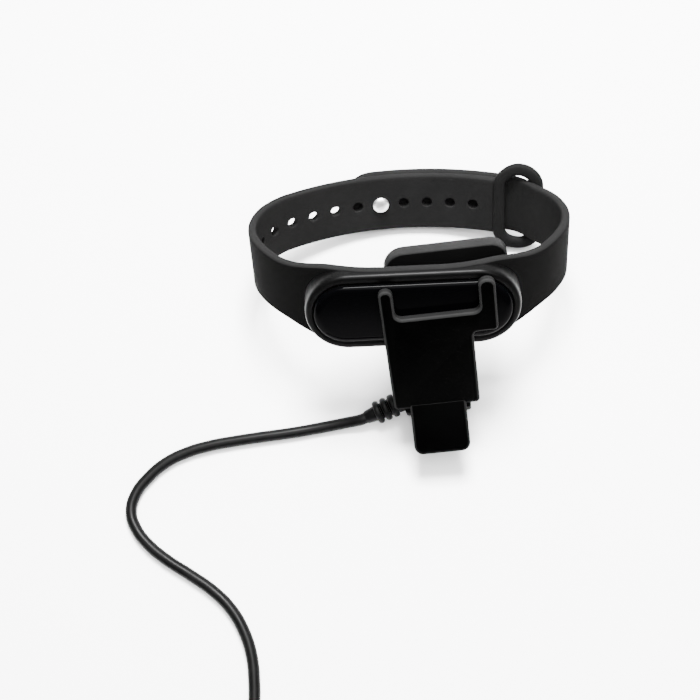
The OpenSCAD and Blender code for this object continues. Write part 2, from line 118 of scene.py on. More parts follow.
class Look:
    # a material with one Principled shader, whose even values are set on its sockets
    def __init__(self, name, color, roughness, **even):
        self.material = bpy.data.materials.new(name)
        self.material.use_nodes = True
        self.tree = self.material.node_tree
        self.shader = self.tree.nodes["Principled BSDF"]
        self.shader.inputs["Base Color"].default_value = (*color, 1)
        self.shader.inputs["Roughness"].default_value = roughness
        self.material.diffuse_color = (*color, 1)
        for socket, value in even.items():
            self.shader.inputs[socket.replace("_", " ")].default_value = value

    def add(self, kind, settings=None, sockets=None, output=0):
        node = self.tree.nodes.new(kind)
        for name, value in (settings or {}).items():
            setattr(node, name, value)
        for name, value in (sockets or {}).items():
            if isinstance(value, Signal):
                self.tree.links.new(value.socket, node.inputs[name])
            else:
                node.inputs[name].default_value = value
        return Signal(self, node.outputs[output])

    def place(self):
        return self.add("ShaderNodeTexCoord", output="Object")

    def noise(self, scale, detail=3, roughness=0.5, at=None):
        return self.add("ShaderNodeTexNoise", None, {"Vector": at or self.place(), "Scale": scale,
                                                     "Detail": detail, "Roughness": roughness})

    def spread(self, signal, low, high):
        return self.add("ShaderNodeMapRange", None, {"Value": signal, "From Min": 0.3, "From Max": 0.7,
                                                     "To Min": low, "To Max": high})

    def blend(self, factor, first, second):
        ends = [tone if isinstance(tone, Signal) else (*tone, 1) for tone in (first, second)]
        return self.add("ShaderNodeMix", {"data_type": "RGBA"}, {0: factor, 6: ends[0], 7: ends[1]},
                        output=2)

    def feed(self, socket, signal):
        self.tree.links.new(signal.socket, self.shader.inputs[socket])

    def bump(self, height, depth, strength=1.0):
        self.feed("Normal", self.add("ShaderNodeBump", None,
                                     {"Height": height, "Distance": depth, "Strength": strength}))


def siliconeLook(name, outer, inner, low, high, shine):
    # moulded silicone: soft matte skin with a fine spark-eroded grain and faint dust; painted light: paler
    # on the lining and rims, where light falls inside the loop
    look = Look(name, (outer, outer, outer * 1.04), (low + high) / 2, Specular_IOR_Level=shine)
    grain = look.noise(5200, 2)
    cloud = look.noise(90, 3)
    dust = look.noise(1500, 4, 0.7)
    mottle = look.spread(cloud * 0.5 + dust * 0.5, 0, 1)
    skin = look.blend(mottle, (outer * 0.84,) * 3, (outer * 1.16,) * 3)
    paintedLightLining = look.blend(mottle, (inner * 0.84,) * 3, (inner * 1.16,) * 3)
    # painted light: the inner attribute picks the paler painted-light tone for the lining, rims and keeper
    inside = look.add("ShaderNodeAttribute", {"attribute_name": "inner"}, output="Fac")
    look.feed("Base Color", look.blend(inside, skin, paintedLightLining))
    look.feed("Roughness", look.spread(cloud * 0.6 + dust * 0.4, low, high))
    look.bump(grain + dust * 0.5, 0.00002, 0.4)
    return look


def glassLook():
    # black backed cover glass with a faint film of handling
    look = Look("cover_glass", (0.0004, 0.0004, 0.0005), 0.07, Specular_IOR_Level=0.014)
    film = look.noise(160, 3, 0.6)
    look.feed("Roughness", look.spread(film, 0.05, 0.10))
    return look


def satinLook(name, tone, low, high, shine=0.2, grainDepth=0.000012, grainScale=4200):
    # fine grained moulded plastic
    look = Look(name, (tone, tone, tone * 1.05), (low + high) / 2, Specular_IOR_Level=shine)
    grain = look.noise(grainScale, 2)
    wear = look.noise(240, 4, 0.6)
    look.feed("Base Color", look.blend(look.spread(wear, 0, 1), (tone * 0.8,) * 3, (tone * 1.3,) * 3))
    look.feed("Roughness", look.spread(wear, low, high))
    look.bump(grain, grainDepth, 0.5)
    return look


def clipLook(tone, low, high, side):
    # near-black satin plastic, with painted highlights: paler on the rims and sides where the side attribute
    # says they catch the light
    look = satinLook("clip_plastic", tone, low, high, 0.004, 0.000004)
    paintedRimMask = look.add("ShaderNodeAttribute", {"attribute_name": "side"}, output="Fac")
    wear = look.spread(look.noise(240, 4, 0.6), 0, 1)
    flat = look.blend(wear, (tone * 0.8,) * 3, (tone * 1.3,) * 3)
    # painted highlight: the side argument is the pale tone painted on rims that catch the light
    edge = look.blend(wear, (side * 0.9,) * 3, (side * 1.1,) * 3)
    look.feed("Base Color", look.blend(paintedRimMask, flat, edge))
    return look


def metalLook(name, color, low, high, lines=(400, 400, 6000), depth=0.000004):
    # metal with drawn or brushed lines along one way
    look = Look(name, color, (low + high) / 2, Metallic=1.0)
    stretched = look.add("ShaderNodeMapping", None, {"Vector": look.place(), "Scale": lines})
    streaks = look.noise(1.0, 2, 0.6, at=stretched)
    look.feed("Roughness", look.spread(streaks, low, high))
    look.bump(streaks, depth, 0.4)
    return look


def speckledLook(name, first, second, scale, roughness, **even):
    # an uneven two-tone finish, for boards, foils and foams
    look = Look(name, first, roughness, **even)
    patches = look.noise(scale, 4, 0.6)
    look.feed("Base Color", look.blend(look.spread(patches, 0, 1), first, second))
    look.feed("Roughness", look.spread(patches, roughness * 0.85, min(1, roughness * 1.15)))
    look.bump(patches, 0.00001, 0.3)
    return look


looks = {
    # silicone: its second tone is painted light, paler on the lining and rims than on the outer skin
    "silicone": siliconeLook("silicone", 0.0023, 0.0064, 0.55, 0.68, 0.003),
    # painted shade: the lip is a darker copy of the strap silicone
    "lip": siliconeLook("silicone_lip_painted_shade", 0.0008, 0.0008, 0.30, 0.40, 0.035),
    "cover_glass": glassLook(),
    # clip plastic: its last number is the painted highlight tone on lit rims
    "clip_plastic": clipLook(0.0002, 0.30, 0.38, 0.009),
    "pod_plastic": satinLook("pod_plastic", 0.0016, 0.32, 0.44, 0.03),
    "cord_jacket": satinLook("cord_jacket", 0.0018, 0.30, 0.42, 0.04, grainScale=3000),
    "tie_plastic": satinLook("tie_plastic", 0.005, 0.45, 0.6, 0.05),
    "plug_plastic": satinLook("plug_plastic", 0.0020, 0.34, 0.48, 0.04),
    "tongue_plastic": satinLook("tongue_plastic", 0.2, 0.4, 0.5, 0.3),
    "gasket_rubber": satinLook("gasket_rubber", 0.006, 0.6, 0.75, 0.05),
    "stud_metal": metalLook("stud_metal", (0.96, 0.96, 0.95), 0.34, 0.44),
    "bright_steel": metalLook("bright_steel", (0.62, 0.62, 0.64), 0.2, 0.36),
    "spring_steel": metalLook("spring_steel", (0.5, 0.5, 0.52), 0.22, 0.36),
    "plug_steel": metalLook("plug_steel", (0.74, 0.74, 0.76), 0.16, 0.3, lines=(200, 5000, 5000)),
    "gold_contact": metalLook("gold_contact", (0.95, 0.72, 0.36), 0.12, 0.24),
    "spring_brass": metalLook("spring_brass", (0.8, 0.6, 0.3), 0.2, 0.34),
    "battery_foil": speckledLook("battery_foil", (0.62, 0.62, 0.64), (0.75, 0.75, 0.77), 700, 0.3,
                                 Metallic=0.9),
    "motor_weight": speckledLook("motor_weight", (0.3, 0.28, 0.25), (0.42, 0.4, 0.36), 900, 0.4,
                                 Metallic=0.9),
    "display": speckledLook("display", (0.01, 0.011, 0.015), (0.016, 0.017, 0.022), 300, 0.15),
    "sensor_glass": speckledLook("sensor_glass", (0.02, 0.004, 0.004), (0.03, 0.007, 0.006), 200, 0.1),
    "board": speckledLook("board", (0.01, 0.10, 0.04), (0.015, 0.14, 0.055), 800, 0.35),
    "foam": speckledLook("foam", (0.02, 0.02, 0.02), (0.04, 0.04, 0.04), 3000, 0.9),
    "flex_film": speckledLook("flex_film", (0.45, 0.24, 0.05), (0.55, 0.31, 0.08), 900, 0.3),
}
slotOf = {part["node"]: part["material_slot"] for part in frame["record"]["subparts"]}
for node, cadObject in frame["nodes"].items():
    for spot in cadObject.material_slots:
        spot.material = looks[slotOf[node]].material
print("finishes ready")


def shadeByAngle(mesh, angle):
    bm = bmesh.new()
    bm.from_mesh(mesh)
    for face in bm.faces:
        face.smooth = True
    for edge in bm.edges:
        edge.smooth = len(edge.link_faces) == 2 and edge.calc_face_angle(0) < math.radians(angle)
    bm.to_mesh(mesh)
    bm.free()


def dress(piece, body, slot, replaces=(), look=None):
    piece.data.materials.clear()
    piece.data.materials.append(looks[look or slot].material)
    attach(piece, body)
    if replaces:
        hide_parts(*replaces)


def asObject(name, bm):
    bmesh.ops.remove_doubles(bm, verts=bm.verts, dist=0.002)
    bmesh.ops.recalc_face_normals(bm, faces=bm.faces)
    mesh = bpy.data.meshes.new(name)
    bm.to_mesh(mesh)
    bm.free()
    piece = bpy.data.objects.new(name, mesh)
    bpy.context.scene.collection.objects.link(piece)
    return piece


def carve(piece, bm):
    # the shape in bm is cut out of the piece, both still in millimetres
    tool = asObject("cutter", bm)
    cut = piece.modifiers.new("cut", "BOOLEAN")
    cut.operation, cut.object, cut.solver = "DIFFERENCE", tool, "EXACT"
    graph = bpy.context.evaluated_depsgraph_get()
    piece.data = bpy.data.meshes.new_from_object(piece.evaluated_get(graph))
    piece.modifiers.clear()
    mesh = tool.data
    bpy.data.objects.remove(tool)
    bpy.data.meshes.remove(mesh)


def settle(piece, place, body, slot, replaces=(), smoothAngle=38, standing=False, look=None):
    # from its own frame in millimetres to the table in metres, cut flat where it stands
    bm = bmesh.new()
    bm.from_mesh(piece.data)
    bmesh.ops.transform(bm, matrix=place, verts=bm.verts)
    if standing:
        everything = bm.verts[:] + bm.edges[:] + bm.faces[:]
        cut = bmesh.ops.bisect_plane(bm, geom=everything, plane_co=(0, 0, 0), plane_no=(0, 0, -1),
                                     clear_outer=True)
        rim = [item for item in cut["geom_cut"] if isinstance(item, bmesh.types.BMEdge)]
        bmesh.ops.holes_fill(bm, edges=rim)
    bmesh.ops.recalc_face_normals(bm, faces=bm.faces)
    bm.to_mesh(piece.data)
    bm.free()
    shadeByAngle(piece.data, smoothAngle)
    dress(piece, body, slot, replaces, look)
    return piece


def roundedLoop(bm, length, height, y, radius=None, sides=96):
    # a ring of vertices in X and Z with rounded corners, or round ends when no radius is given
    radius = height / 2 if radius is None else radius
    ring = bmesh.ops.create_circle(bm, segments=sides, radius=radius)["verts"]
    half = Matrix.Rotation(math.radians(90), 3, "X") @ Matrix.Rotation(math.pi / sides, 3, "Z")
    bmesh.ops.rotate(bm, verts=ring, matrix=half)
    for vert in ring:
        vert.co.x += math.copysign(length / 2 - radius, vert.co.x)
        vert.co.z += math.copysign(height / 2 - radius, vert.co.z)
        vert.co.y = y
    return ring


def ringEdges(ring):
    members = set(ring)
    return list({e for v in ring for e in v.link_edges if e.other_vert(v) in members})


def stack(bm, rings, closed=False):
    # skins the rings one after another, with a cap at each end or back round to the first
    edges = [ringEdges(ring) for ring in rings]
    pairs = list(zip(edges, edges[1:]))
    if closed:
        pairs.append((edges[-1], edges[0]))
    for first, second in pairs:
        bmesh.ops.bridge_loops(bm, edges=first + second)
    if not closed:
        for ring in (edges[0], edges[-1]):
            bmesh.ops.contextual_create(bm, geom=ring)


def lofted(sections, closed=False, radius=None):
    # sections are (length, height, y) of rounded outlines
    bm = bmesh.new()
    stack(bm, [roundedLoop(bm, l, h, y, radius) for l, h, y in sections], closed)
    return bm


def slab(bm, corners, low, high, axes="xz", rim=0.35, segments=3, paintedRimTones=(0, 0, 0, 0)):
    # a flat outline of (across, up, corner radius), given a thickness and rounded rims; the last argument
    # sets the painted highlight: how pale its two faces, its front rim, its sides and its back rim are
    # painted, as light falls on them
    def point(a, b, c):
        return Vector({"xz": (a, c, b), "yz": (c, a, b), "xy": (a, b, c)}[axes])
    work = bmesh.new()
    verts = [work.verts.new(point(a, b, low)) for a, b, _ in corners]
    work.faces.new(verts)
    for vert, (_, _, radius) in zip(verts, corners):
        if radius:
            bmesh.ops.bevel(work, geom=[vert], offset=arcOffset(corners, verts.index(vert), radius),
                            affect="VERTICES", segments=8, profile=0.5, material=-1)
    grown = bmesh.ops.extrude_face_region(work, geom=work.faces[:], use_keep_orig=True)["geom"]
    top = [item for item in grown if isinstance(item, bmesh.types.BMVert)]
    bmesh.ops.translate(work, vec=point(0, 0, high - low), verts=top)
    bmesh.ops.recalc_face_normals(work, faces=work.faces)
    if rim:
        ends = sorted(work.faces, key=lambda face: -len(face.edges))[:2]
        bmesh.ops.bevel(work, geom=[edge for face in ends for edge in face.edges], offset=rim,
                        affect="EDGES", segments=segments, profile=0.5, material=-1)
    # painted highlight: each face keeps how pale it is painted, in the side attribute
    side = work.faces.layers.float.new("side")
    ends = sorted(work.faces, key=lambda face: -len(face.edges))[:2]
    for face in work.faces:
        depth = (face.calc_center_median().dot(point(0, 0, 1)) - low) / (high - low)
        face[side] = paintedRimTones[0] if face in ends else paintedRimTones[1 + min(2, round(depth * 2))]
    mesh = bpy.data.meshes.new("slab")
    work.to_mesh(mesh)
    work.free()
    bm.from_mesh(mesh)
    bpy.data.meshes.remove(mesh)


def arcOffset(corners, index, radius):
    # how far along its sides a corner's rounding of this radius reaches
    here = Vector(corners[index][:2])
    before = Vector(corners[index - 1][:2]) - here
    after = Vector(corners[(index + 1) % len(corners)][:2]) - here
    return radius / math.tan(before.angle(after) / 2)


def lathe(bm, profile, axis="Y", steps=48):
    # profile is (radius, distance along the axis), turned all the way round
    def point(radius, along):
        return {"X": (along, radius, 0), "Y": (radius, along, 0), "Z": (radius, 0, along)}[axis]
    verts = [bm.verts.new(point(radius, along)) for radius, along in profile]
    edges = [bm.edges.new(pair) for pair in zip(verts, verts[1:])]
    line = {"X": (1, 0, 0), "Y": (0, 1, 0), "Z": (0, 0, 1)}[axis]
    bmesh.ops.spin(bm, geom=verts + edges, cent=(0, 0, 0), axis=line, angle=math.tau,
                   steps=steps, use_merge=True, use_duplicate=False)
    bmesh.ops.remove_doubles(bm, verts=bm.verts, dist=0.001)


def turned(profile, axis="Y", steps=48, shift=(0, 0, 0)):
    bm = bmesh.new()
    lathe(bm, profile, axis, steps)
    bmesh.ops.translate(bm, vec=shift, verts=bm.verts)
    return bm


def merged(*shapes):
    # several shapes as one mesh
    whole = bmesh.new()
    for shape in shapes:
        mesh = bpy.data.meshes.new("shape")
        shape.to_mesh(mesh)
        shape.free()
        whole.from_mesh(mesh)
        bpy.data.meshes.remove(mesh)
    return whole


lead = {
    "diameter": 2.8, "root": (-3.45, -22.95, 4.4), "turn": 200, "dip": 8, "relief": 9.6,
    "route": [
        (-16, -26.85, 2.3), (-20, -27.3, 1.7), (-25, -28, 1.4), (-31, -28.8, 1.4),
        (-38, -29.5, 1.4), (-45, -30.3, 1.4), (-51, -31.2, 1.4), (-57, -32.8, 1.4),
        (-62, -35.2, 1.4), (-66, -38.6, 1.4), (-69, -42.6, 1.4), (-70, -47, 1.4),
        (-68.6, -51.2, 1.4), (-65.5, -55.2, 1.4), (-61, -59, 1.4), (-55, -63, 1.4),
        (-50, -66.6, 1.4), (-45.6, -71, 1.4), (-42.4, -76.4, 1.4), (-40.6, -82, 1.4),
        (-40, -88, 1.4), (-40, -94, 1.4), (-40, -100, 1.4), (-40, -106, 1.4)],
    "coil": (-23, -116), "outer": 17, "inner": 14.1, "upper": 15.5, "low": 1.8, "high": 4.6,
    "turns": 3.25, "perTurn": 20, "length": 0.4845, "plug": (-3, -131.5, 4), "inward": (0.82, 0.18),
    "outward": (2, 0.3), "climb": (1.55, 0.37), "plugEntry": ((14, 4.55), (8, 4.3), (3, 4.05)),
}
plug = {
    "rings": [(0, 9, 5.4, 1.6), (0.3, 10, 6, 1.8), (2.4, 14.2, 7.4, 2), (3.4, 15.2, 7.85, 2),
              (4.2, 15.5, 8, 2), (7, 15.6, 8, 2), (7.2, 15.1, 7.6, 1.8), (8.2, 15.1, 7.6, 1.8),
              (8.4, 15.6, 8, 2), (9.4, 15.6, 8, 2), (9.6, 15.1, 7.6, 1.8), (10.6, 15.1, 7.6, 1.8),
              (10.8, 15.6, 8, 2), (23.2, 15.6, 8, 2), (23.75, 15.3, 7.7, 1.85), (24, 14.7, 7.1, 1.6)],
}
tie = {"across": 6.4, "tall": 5.6, "thick": 0.4, "wide": 4, "soft": 0.15, "corner": 1.2, "reach": 15.5,
       "up": 3.2}


def ease(value):
    value = min(max(value, 0), 1)
    return value * value * (3 - 2 * value)


def reliefPlace():
    return (Matrix.Translation(lead["root"]) @ Matrix.Rotation(math.radians(lead["turn"]), 4, "Z")
            @ Matrix.Rotation(math.radians(lead["dip"]), 4, "Y"))


def coilPoints():
    # an outer turn, an inner turn beside it, then a climb to one turn on top of both; each move starts at
    # its first number, in turns, and lasts its second
    (inFrom, inOver), (outFrom, outOver), (upFrom, upOver) = lead["inward"], lead["outward"], lead["climb"]
    x, y = lead["coil"]
    count = round(lead["turns"] * lead["perTurn"])
    for step in range(count + 1):
        turn = step / lead["perTurn"]
        angle = math.pi + turn * math.tau
        radius = lead["outer"] - (lead["outer"] - lead["inner"]) * ease((turn - inFrom) / inOver)
        radius += (lead["upper"] - lead["inner"]) * ease((turn - outFrom) / outOver)
        height = lead["low"] + (lead["high"] - lead["low"]) * ease((turn - upFrom) / upOver)
        yield x + radius * math.cos(angle), y + radius * math.sin(angle), height


def makePlug():
    bm = bmesh.new()
    stack(bm, [roundedLoop(bm, w, h, along, r, 64) for along, w, h, r in plug["rings"]])
    turn = Matrix.Rotation(math.radians(-90), 4, "Z")
    place = tablePlace @ Matrix.Translation(lead["plug"]) @ turn
    body = asObject("plug_body", bm)
    settle(body, place, "charger", "plug_plastic", ("usb_overmould",), smoothAngle=40)
    bm = bmesh.new()
    thick, half = tie["thick"], tie["wide"] / 2
    outer = half - tie["soft"]
    rings = []
    for extra, along in ((0, -half), (thick, -outer), (thick, outer), (0, half)):
        rings.append(roundedLoop(bm, tie["across"] + 2 * extra, tie["tall"] + 2 * extra, along,
                                 tie["corner"] + extra, 48))
    stack(bm, rings, closed=True)
    x, y = lead["coil"]
    place = tablePlace @ Matrix.Translation((x, y + tie["reach"], tie["up"])) @ turn
    strip = asObject("coil_tie", bm)
    settle(strip, place, "charger", "tie_plastic", ("cord_tie",), smoothAngle=40)
    print("plug and tie ready")
    return body, strip


def makeLead():
    sleeve = [reliefPlace() @ Vector((lead["relief"] + more, 0, 0)) for more in (0, 1)]
    x, y, z = lead["plug"]
    entry = [(x - before, y, up) for before, up in lead["plugEntry"]]
    run = [*sleeve, *lead["route"], *coilPoints(), *entry, (x, y, z)]
    points = [Vector(p) * mm for p in run]
    data = bpy.data.curves.new("lead", "CURVE")
    data.dimensions = "3D"
    data.bevel_depth = lead["diameter"] / 2 * mm
    data.bevel_resolution = 6
    data.resolution_u = 6
    data.use_fill_caps = True
    spline = data.splines.new("BEZIER")
    spline.bezier_points.add(len(points) - 1)
    for knot, point in zip(spline.bezier_points, points):
        knot.co = point
        knot.handle_left_type = knot.handle_right_type = "AUTO"
    curve = bpy.data.objects.new("lead", data)
    bpy.context.scene.collection.objects.link(curve)
    dress(curve, "charger", "cord_jacket", ("cord_run", "cord_coil", "cord_tail"))
    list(makePlug())
    print("lead ready")


makeLead()


strap = {
    "thick": 2, "front": 20.8, "back": 15.4, "taperFrom": 17.4, "taperTo": 31, "rim": 0.6,
    "flat": 6.4, "frontRadius": 32.7, "frontTurn": 65, "sideRadius": 15.6, "sideTurn": 86,
    "holedEnd": 25.5, "tailEnd": -16, "layerStep": 2.2, "shiftFrom": 35, "shiftTo": 27,
    "hole": 1.3, "pitch": 6, "stud": -6.6, "holes": range(-6, 5), "columns": 216, "rows": 12,
}
frontTurn = math.radians(strap["frontTurn"])
sideTurn = math.radians(strap["sideTurn"])
bothTurns = frontTurn + sideTurn
sideX = strap["flat"] + strap["frontRadius"] * math.sin(frontTurn)
sideY = strap["frontRadius"] * (1 - math.cos(frontTurn))
backX = sideX + strap["sideRadius"] * (math.sin(bothTurns) - math.sin(frontTurn))
backY = sideY + strap["sideRadius"] * (math.cos(frontTurn) - math.cos(bothTurns))
backRadius = backX / math.sin(bothTurns)
frontEnd = strap["flat"] + strap["frontRadius"] * frontTurn
sideEnd = frontEnd + strap["sideRadius"] * sideTurn
halfLoop = sideEnd + backRadius * (math.pi - bothTurns)


def loopHeading(s):
    if s < strap["flat"]:
        return 0
    if s < frontEnd:
        return (s - strap["flat"]) / strap["frontRadius"]
    if s < sideEnd:
        return frontTurn + (s - frontEnd) / strap["sideRadius"]
    return bothTurns + (s - sideEnd) / backRadius


def loopMiddle(s):
    turn = loopHeading(s)
    if s < strap["flat"]:
        return s, 0
    if s < frontEnd:
        return (strap["flat"] + strap["frontRadius"] * math.sin(turn),
                strap["frontRadius"] * (1 - math.cos(turn)))
    if s < sideEnd:
        return (sideX + strap["sideRadius"] * (math.sin(turn) - math.sin(frontTurn)),
                sideY + strap["sideRadius"] * (math.cos(frontTurn) - math.cos(turn)))
    return (backX + backRadius * (math.sin(turn) - math.sin(bothTurns)),
            backY + backRadius * (math.cos(bothTurns) - math.cos(turn)))


def loopPoint(c, off):
    # c runs along the loop from the middle of its back, positive to the right
    s = halfLoop - abs(c)
    turn = loopHeading(s)
    x, y = loopMiddle(s)
    return math.copysign(1, c) * (x + off * math.sin(turn)), y - off * math.cos(turn)


def alongLoop(along):
    # from a length along the flat strap, zero in front and positive to the right, to c and its layer
    if along < 0:
        return -halfLoop - along, 0
    c = halfLoop - along
    return c, strap["layerStep"] * ease((strap["shiftFrom"] - c) / (strap["shiftFrom"] - strap["shiftTo"]))


def halfWidth(along):
    x = loopMiddle(min(abs(along), sideEnd))[0] if abs(along) < sideEnd else 99
    taper = ease((x - strap["taperFrom"]) / (strap["taperTo"] - strap["taperFrom"]))
    return strap["front"] / 2 + (strap["back"] - strap["front"]) / 2 * taper


def flatStrap():
    # the strap laid flat, with a round tail and rounded rims
    bm = bmesh.new()
    bmesh.ops.create_grid(bm, x_segments=strap["columns"], y_segments=strap["rows"], size=0.5)
    start, stop = -halfLoop - strap["holedEnd"], halfLoop - strap["tailEnd"]
    tip, tipShare = strap["back"] / 2, 14 / strap["columns"]
    for vert in bm.verts:
        share, across = vert.co.x + 0.5, vert.co.y * 2
        if share > 1 - tipShare:
            turn = (share - 1 + tipShare) / tipShare * math.pi / 2
            vert.co = (stop - tip + tip * math.sin(turn), across * tip * math.cos(turn), -strap["thick"] / 2)
        else:
            along = start + (stop - tip - start) * share / (1 - tipShare)
            vert.co = (along, across * halfWidth(along), -strap["thick"] / 2)
    bmesh.ops.remove_doubles(bm, verts=bm.verts, dist=0.001)
    grown = bmesh.ops.extrude_face_region(bm, geom=bm.faces[:], use_keep_orig=True)["geom"]
    top = [item for item in grown if isinstance(item, bmesh.types.BMVert)]
    bmesh.ops.translate(bm, vec=(0, 0, strap["thick"]), verts=top)
    bmesh.ops.recalc_face_normals(bm, faces=bm.faces)
    rims = [edge for edge in bm.edges if edge.calc_face_angle(0) > math.radians(60)
            and abs(edge.verts[0].co.z - edge.verts[1].co.z) < 0.1]
    bmesh.ops.bevel(bm, geom=rims, offset=strap["rim"], affect="EDGES", segments=4, profile=0.5, material=-1)
    return asObject("strap", bm)


def holeCutter():
    # waisted rods through every size hole, and one through the tail for the stud
    wide, half = 0.18, strap["thick"] / 2
    profile = [(0, -3), (strap["hole"] + wide, -3)]
    for step in range(5):
        turn = step / 4 * math.pi / 2
        profile.append((strap["hole"] + wide * (1 - math.sin(turn)), -half + wide * (1 - math.cos(turn))))
    profile += [(r, -z) for r, z in reversed(profile)]
    spots = [-(halfLoop + strap["stud"] + k * strap["pitch"]) for k in strap["holes"]]
    spots.append(halfLoop - strap["stud"])
    return merged(*(turned(profile, "Z", 32, (spot, 0, 0)) for spot in spots))


def makeStrap():
    piece = flatStrap()
    carve(piece, holeCutter())
    # painted light: every face but the outer skin (lining, rims and hole walls) is marked to take the paler
    # painted-light tone
    inner = piece.data.attributes.new("inner", "FLOAT", "FACE")
    for face, spot in zip(piece.data.polygons, inner.data):
        spot.value = 0 if face.center.z > 0.9 else 1
    for vert in piece.data.vertices:
        c, layer = alongLoop(vert.co.x)
        x, y = loopPoint(c, vert.co.z + layer)
        vert.co = (x, y, vert.co.y)
    carve(piece, lofted([(cradle["length"] - 1.4, cradle["height"] - 1.6, y) for y in (-4, 9)]))
    settle(piece, loopPlace, "band", "silicone", ("strap",), smoothAngle=50)
    print("strap ready")


cradle = {
    "length": 48.8, "height": 20, "inside": 0.25,
    "sections": [
        (49.2, 20.3, 9), (49.1, 20.3, 0), (48.9, 20.1, -0.9), (48.75, 19.9, -1.5), (48.4, 19.5, -1.9),
        (47.9, 19.0, -2.12), (47.3, 18.4, -2.2), (46.2, 16.6, -2.2), (45.6, 15.9, -2.12),
        (45.25, 15.45, -1.85), (45.2, 15.4, -0.9), (47.1, 18.1, -0.9), (47.1, 18.1, 9)],
    "trim": 34, "behind": 16,
}


def makeCradle():
    # the raised lip that holds the tracker, flaring into the strap at its ends
    piece = asObject("cradle", lofted(cradle["sections"], closed=True))
    curve = []
    for step in range(41):
        s = cradle["trim"] * (step / 20 - 1)
        turn = loopHeading(abs(s))
        x, y = loopMiddle(abs(s))
        half = strap["thick"] / 2 - cradle["inside"]
        curve.append((math.copysign(x - half * math.sin(turn), s), y + half * math.cos(turn), 0))
    bm = bmesh.new()
    slab(bm, [*curve, (cradle["trim"], cradle["behind"], 0), (-cradle["trim"], cradle["behind"], 0)],
         -strap["front"], strap["front"], "xy", rim=0)
    carve(piece, bm)
    # painted shade: the lip takes the darker copy of the silicone
    settle(piece, loopPlace, "band", "silicone", smoothAngle=50, look="lip")
    print("cradle ready")


hoop = {"at": (28.1, 41.15, 0), "turn": -14, "width": 12.4, "height": 24.2, "bar": 3.1, "thick": 2.2,
        "corner": 6.1, "round": 0.95, "swell": 0.9, "paintedLightShare": 0.7}


def makeHoop():
    # a soft rounded keeper on the end of the holed side
    bm = bmesh.new()
    rings = []
    bar, half, soft = hoop["bar"] / 2, hoop["thick"] / 2, hoop["round"]
    for step in range(20):
        turn = math.tau * step / 20
        across, deep = math.cos(turn), math.sin(turn)
        inset = bar - math.copysign(bar - soft, across) - soft * across
        y = math.copysign(half - soft, deep) + soft * deep
        rings.append(roundedLoop(bm, hoop["width"] - 2 * inset, hoop["height"] - 2 * inset, y,
                                 hoop["corner"] - inset, 96))
    stack(bm, rings, closed=True)
    for vert in bm.verts:
        # the bar that ends the holed side stands proud of it, inside the loop
        vert.co.y -= hoop["swell"] * ease(-vert.co.x / (hoop["width"] / 2 - bar))
    piece = asObject("keeper_hoop", bm)
    # painted light: the whole keeper takes part of the paler painted-light tone, so its arch reads lit
    for spot in piece.data.attributes.new("inner", "FLOAT", "FACE").data:
        spot.value = hoop["paintedLightShare"]
    place = loopPlace @ Matrix.Translation(hoop["at"]) @ Matrix.Rotation(math.radians(hoop["turn"]), 4, "Z")
    settle(piece, place, "band", "silicone", smoothAngle=60)
    print("hoop ready")


stud = {"head": 2.1, "shaft": 1.2, "disc": 3.4}


def makeStud():
    # a domed metal stud: small head inside the loop, wider disc outside
    back = strap["layerStep"] + strap["thick"] / 2
    head, disc = stud["head"], stud["disc"]
    profile = [(0, -2.02), (head * 0.35, -2.0), (head * 0.65, -1.9), (head * 0.87, -1.72),
               (head * 0.97, -1.5), (head, -1.3), (head * 0.97, -1.12), (head * 0.9, -1.05),
               (stud["shaft"], -1.05),
               (stud["shaft"], back + 0.02), (disc * 0.94, back + 0.02), (disc * 0.985, back + 0.12),
               (disc, back + 0.3), (disc * 0.985, back + 0.5), (disc * 0.9, back + 0.7),
               (disc * 0.7, back + 0.79), (0, back + 0.8)]
    c = strap["stud"]
    x, y = loopPoint(c, 0)
    turn = math.copysign(1, c) * (loopHeading(halfLoop - abs(c)) - math.pi)
    piece = asObject("stud_button", turned(profile, "Y", 64))
    place = loopPlace @ Matrix.Translation((x, y, 0)) @ Matrix.Rotation(turn, 4, "Z")
    settle(piece, place, "band", "stud_metal", ("stud",), smoothAngle=35)
    print("stud ready")


tracker = {
    "glass": [(44.9, 15.1, -2.1), (44.9, 15.1, -2.35), (44.78, 14.98, -2.6), (44.5, 14.7, -2.82),
              (44.0, 14.2, -3.0), (43.3, 13.5, -3.12), (42.3, 12.5, -3.18), (41.0, 11.2, -3.2)],
    "shell": [(46.9, 17.9, 1.2), (46.9, 17.9, 1.8), (46.7, 17.7, 2.2), (46.3, 17.2, 2.6), (40.4, 9.9, 7.8),
              (39.8, 9.1, 8.4), (39.1, 8.4, 8.73), (38.2, 7.5, 8.8)],
    "sensor": -9, "lens": 3.5, "contact": 1.2, "contactPitch": 7, "contactUp": -2, "back": 8.8,
    "dome": [(0, -0.88), (3.4, -0.88), (3.46, -0.8), (3.46, -0.3), (3.3, -0.16), (2.6, -0.1), (1.4, -0.06),
             (0, -0.05)],
}


